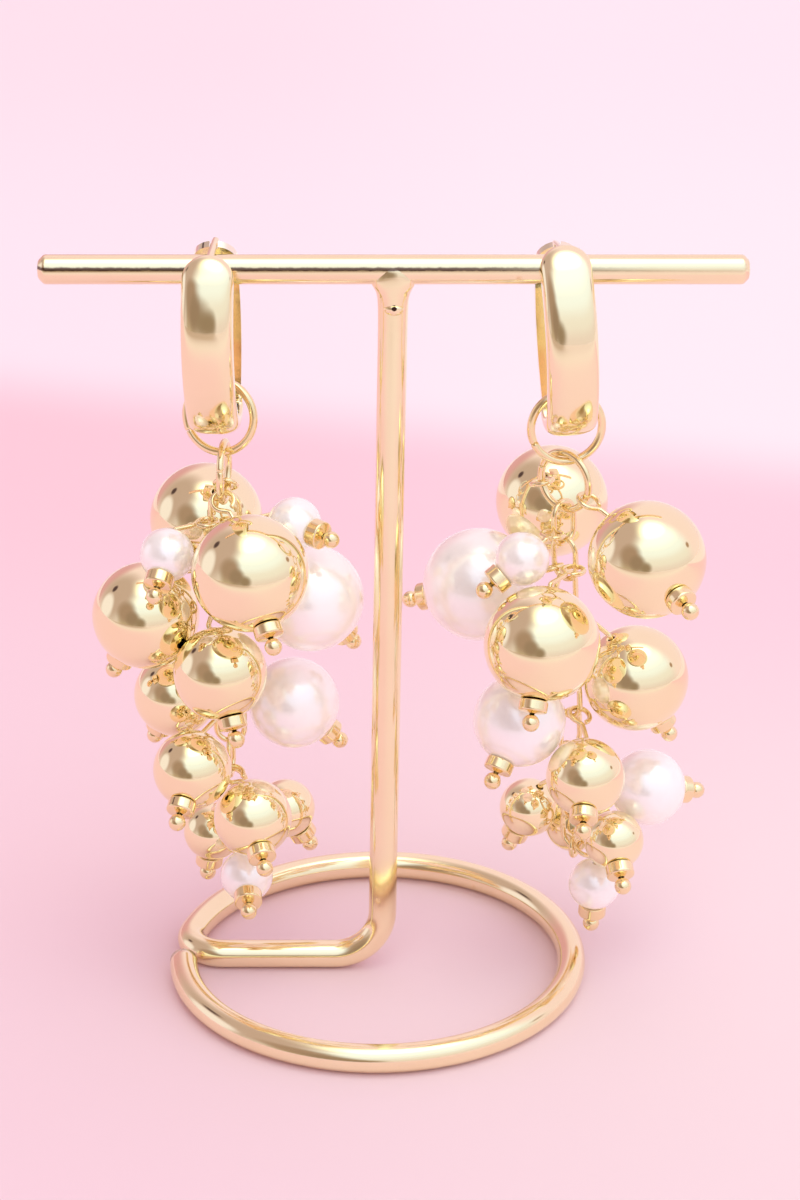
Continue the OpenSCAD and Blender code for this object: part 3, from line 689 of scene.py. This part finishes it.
# Weld: a lumpy collar that spreads under the bar and laps up its front and back. Rows go up
# the post, by height over the bar's middle; each is x = a c^p, y = b s^p, the rounded square
# between an oval and its box. Squareness and lumps set in over a rise of "over".
weld = {"z": (-9.5, -8.0, -6.5, -5.2, -4.2, -3.5, -2.9, -2.4, -1.9, -1.3, -0.6, 0.1, 0.6,
              0.95, 1.15),
        "wide": (1.96, 2.0, 2.02, 2.05, 2.1, 2.18, 2.34, 2.62, 2.98, 3.0, 2.85, 2.5, 2.0,
                 1.3, 0.5),
        "deep": (1.96, 2.0, 2.02, 2.05, 2.08, 2.11, 2.14, 2.17, 2.2, 2.22, 2.2, 2.12, 1.96,
                 1.75, 1.5),
        "square": 0.74, "squareFrom": -4.5, "over": 2.0, "lumps": 0.014, "lumpsFrom": -5.0,
        "mostLump": 0.5, "lumpsRound": (3, 5), "lumpsUp": (1.7, 2.3, 2.9), "lumpsDeep": 0.3}
rise = np.linspace(weld["z"][0], weld["z"][-1], 48)[:, None]
a = np.radians(np.linspace(0, 360, 72, endpoint=False))[None, :]
wide, deep = (np.interp(rise, weld["z"], weld[key]) for key in ("wide", "deep"))
for _ in range(4):
    for profile in (wide, deep):
        profile[1:-1, 0] = np.convolve(profile[:, 0], (0.25, 0.5, 0.25), "valid")
p = 1 - (1 - weld["square"]) * np.clip((rise - weld["squareFrom"]) / weld["over"], 0, 1)
(m, n), (first, second, third) = weld["lumpsRound"], weld["lumpsUp"]
waves = np.sin(m * a + first * rise) + np.sin(n * a - second * rise) * np.cos(third * rise)
lump = 1 + weld["lumps"] * waves * np.clip((rise - weld["lumpsFrom"]) / weld["over"], 0,
                                           weld["mostLump"])
x = wide * lump * np.sign(np.cos(a)) * np.abs(np.cos(a)) ** p
y = deep * np.sign(np.sin(a)) * np.abs(np.sin(a)) ** p * (1 + weld["lumpsDeep"] * (lump - 1))
along = (barMid + np.minimum(rise, 0)[..., None] * (postUp / postUp[2])
         + np.maximum(rise, 0)[..., None] * np.array([0, 0, 1.0]))
weldGrid = along + np.stack([x, y, 0 * x], -1)

# Drop of solder that ran down the post's front, curved round it and heavier below, with a
# near-black spot, a painted dark reflection
solder = {"under": 4.95, "at": (0.12, 0.12), "wide": 1.42, "tall": 0.72, "proud": 0.5,
          "curve": 0.17, "heavy": 0.25}
paintedSpot = {"at": (0.05, 0.02, 0.22), "r": 0.36, "deep": 0.35, "tall": 0.9}
f = np.radians(np.linspace(4, 176, 20))[:, None]
a = np.radians(np.linspace(0, 360, 32, endpoint=False))[None, :]
aside, inwards = solder["at"]
middle = barMid - solder["under"] * postUp / postUp[2] + np.array([aside, inwards - wireR, 0])
out = solder["wide"] * np.cos(f) + 0 * a
solderGrid = middle + np.stack(
    [out, solder["curve"] * out ** 2 - solder["proud"] * np.sin(f) * np.cos(a),
     solder["tall"] * np.sin(f) * np.sin(a) * (1 - solder["heavy"] * np.sin(a))], -1)
makePiece("standFrame", [(revolve(barLine, barMid, (1, 0, 0), 64), False),
                         (tube(wireLine, wireRadius, sides=40), False),
                         (weldGrid, False), (solderGrid, False)],
          standGold, ["stand"])
# A near-black blob on the solder's front: a painted dark reflection
paintedSpotMid = middle + paintedSpot["at"] - [0, solder["proud"], 0]
paintedSpotGrid = paintedSpotMid + paintedSpot["r"] * np.stack([np.cos(f) + 0 * a,
                                           paintedSpot["deep"] * np.sin(f) * np.cos(a),
                                           paintedSpot["tall"] * np.sin(f) * np.sin(a)], -1)
makePiece("solderPaintedDarkSpot", [(paintedSpotGrid, False)], paintedDarkSpot)
print("stand made")

# Front halves of the hoops: a puffed band along the arcs of an oval, with the hinge's cheeks at
# the bottom and the ear post at the top. Angles go about +X from straight down to the back.
hoop = {"tall": 27.2, "deep": 18.5, "endR": 7.4, "top": 4.3, "band": 6.9, "thick": 2.6,
        "edge": 0.8, "power": 2.7, "corner": 0.3, "hingeAt": 40.0, "knuckle": 1.25,
        "slope": 4.0, "footFrom": 27.5, "footStep": (0.5, 1.0), "footIn": 0.12, "post": 1.0,
        "postRise": 2.55, "postFrom": -3.6, "postTo": 6.2}
cheek = {"span": (24, 40), "from": 1.3, "to": 3.0, "sunk": 0.25, "thick": 2.1, "edge": 1.9,
         "crown": 0.2, "power": 2.0}
hung = {"left": {"x": -24.2, "slide": -1.8, "turn": -3.0, "lean": 0.0, "pitch": -6.0},
        "right": {"x": 22.6, "slide": 0.8, "turn": 5.0, "lean": -3.0, "pitch": 5.0}}
endUp, halfDeep = hoop["tall"] / 2 - hoop["endR"], hoop["deep"] / 2
hoopMid = hoop["top"] - hoop["tall"] / 2
sideR = (halfDeep ** 2 + endUp ** 2 - hoop["endR"] ** 2) / (2 * (halfDeep - hoop["endR"]))
sideY = sideR - halfDeep
joinAt = 90 - math.degrees(math.atan(endUp / sideY))
hingeAt = math.radians(hoop["hingeAt"])
towardHinge = np.array([0, math.sin(hingeAt), -math.cos(hingeAt)])
hinge = (hoop["endR"] - hoop["thick"] / 2) * towardHinge + [0, 0, hoopMid - endUp]


def ovalRows(mid, r, thick, first, last, steps):
    # Inner face's middle, outward and ahead on an arc of the oval, for a strip of that thickness
    phi = np.radians(np.linspace(first, last, steps))
    outward = np.stack([0 * phi, np.sin(phi), -np.cos(phi)], -1)
    ahead = np.sign(last - first) * np.stack([0 * phi, np.cos(phi), np.sin(phi)], -1)
    return np.array([0, *mid]) + (r - thick) * outward, outward, ahead


def stripShell(rows, half, edge, crown, power, aside=0.0, inset=0.0, reach=0.0):
    # A strip: flat inside with round corners, low walls, and a crown whose lift at a distance d
    # from the middle is (1 - (d/half)^power)^(1/power). Reach is how far a row lies beyond the
    # middle of a round end, where the strip narrows as a circle does.
    point, outward, ahead = rows
    inset = np.broadcast_to(inset, (len(point),))[:, None]
    reach = np.broadcast_to(reach, (len(point),))[:, None]
    wide = np.sqrt(np.maximum(half ** 2 - reach ** 2, 0.02)) - inset
    corner = np.minimum(hoop["corner"], 0.4 * wide)
    a = np.radians(np.linspace(0, 180, 33))[None, :]
    bow = np.sign(np.cos(a)) * np.abs(np.cos(a)) ** (2 / power)
    d = np.minimum(np.sqrt((wide * bow) ** 2 + reach ** 2) / half, 1)
    lift = edge + crown * (1 - d ** power) ** (1 / power) - inset
    low = np.radians(np.linspace(180, 270, 6))[None, :]
    high = np.radians(np.linspace(270, 360, 6))[None, :]
    flat = np.array([[-0.5, 0, 0.5]])
    x = np.hstack([wide * bow, corner - wide + corner * np.cos(low), flat * (wide - corner),
                   wide - corner + corner * np.cos(high)])
    y = np.hstack([lift, inset + corner + corner * np.sin(low), inset + 0 * flat,
                   inset + corner + corner * np.sin(high)])
    across = np.cross(outward, ahead)
    return (point[:, None] + (x + aside)[..., None] * across[:, None]
            + y[..., None] * outward[:, None])


def joined(*groups):
    return tuple(np.concatenate(column) for column in zip(*groups))


def roundEnd(rows, half):
    # Rows beyond the last one, which run straight on to the tip of a round end
    reach = half * np.sin(np.radians(np.linspace(0, 86, 22)))[1:]
    point, outward, ahead = (column[-1:] for column in rows)
    return (point + reach[:, None] * ahead, outward + 0 * reach[:, None],
            ahead + 0 * reach[:, None]), reach


def barrel(x0, x1, r):
    line = fillet([(x0, 0.2), (x0, r), (x1, r), (x1, 0.2)], 0.2, 5)
    return revolve(line, hinge, (1, 0, 0), 36)


def hang(side, shells):
    # Turned, leaned and pitched as the hoop hangs, and slid along its ear post
    h = hung[side]
    whole = turn("y", h["lean"]) @ turn("z", h["turn"]) @ turn("x", -h["pitch"] - hoop["slope"])
    hook = np.array([h["x"], *barMid[1:]])
    return [(hook + (grid @ turn("x", hoop["slope"]).T + [0, h["slide"], 0]) @ whole.T, closed)
            for grid, closed in shells]


lowMid, highMid = (0, hoopMid - endUp), (0, hoopMid + endUp)
half, crown = hoop["band"] / 2, hoop["thick"] - hoop["edge"]
endR, thick, footAt = hoop["endR"], hoop["thick"], hoop["footFrom"]
bandRows = joined(ovalRows(lowMid, endR, thick, footAt, footAt - hoop["footStep"][0], 2),
                  ovalRows(lowMid, endR, thick, footAt - sum(hoop["footStep"]), -joinAt, 44),
                  ovalRows((sideY, hoopMid), sideR, thick, -joinAt - 1, joinAt - 179, 60),
                  ovalRows(highMid, endR, thick, joinAt - 180, joinAt - 190, 10))
capRows, capReach = roundEnd(bandRows, half)
inset = np.zeros(len(bandRows[0]) + len(capReach))
inset[0] = hoop["footIn"]
band = stripShell(joined(bandRows, capRows), half, hoop["edge"], crown, hoop["power"],
                  inset=inset, reach=np.append(0 * bandRows[0][:, 0], capReach))
cheekHalf = (cheek["to"] - cheek["from"]) / 2
cheekRows = ovalRows(lowMid, endR - cheek["sunk"], cheek["thick"], *cheek["span"], 10)
cheeks = [stripShell(cheekRows, cheekHalf, cheek["edge"], cheek["crown"], cheek["power"],
                     aside=sign * (cheek["from"] + cheekHalf)) for sign in (-1, 1)]
postR = hoop["post"] / 2
postFrom = np.array([[0, hoop["postFrom"], hoop["postRise"]]])
postLong = hoop["postTo"] - hoop["postFrom"]
f = np.radians(np.linspace(90, 8, 8))
run = np.concatenate([np.linspace(0, 1, 8)[:-1] * postLong, postLong + postR * np.cos(f)])
postRadius = np.concatenate([np.full(7, postR), postR * np.sin(f)])
postLine = (postFrom + run[:, None] * [0, 1.0, 0]) @ turn("x", -hoop["slope"]).T
frontShells = [(band, False), (cheeks[0], False), (cheeks[1], False),
               (barrel(-cheek["to"], -cheek["from"], hoop["knuckle"]), False),
               (barrel(cheek["from"], cheek["to"], hoop["knuckle"]), False),
               (tube(postLine, postRadius, (1, 0, 0), 18), False)]
for side in hung:
    makePiece(side + "HoopFront", hang(side, frontShells), hoopGold,
              [side + "_hoop_front"])
print("hoop fronts made")

# The frame's own nodes get the finish of their material slot, but the back arms get the hoop gold
# painted paler
finishOf = {"stand_plating": standGold, "hoop_plating": hoopGold, "link_plating": linkGold,
            "bead_plating": beadGold, "pearl": pearlMat}
slotOf = {part["node"]: part["material_slot"] for part in frame["record"]["subparts"]}
for nodeName, node in frame["nodes"].items():
    node.data.materials.clear()
    ofArm = nodeName.endswith("_hoop_arm")
    # Back arms: hoop gold painted paler, a painted reflection of cream light
    node.data.materials.append(armPaintedGold if ofArm else finishOf[slotOf[nodeName]])
print("frame nodes finished")
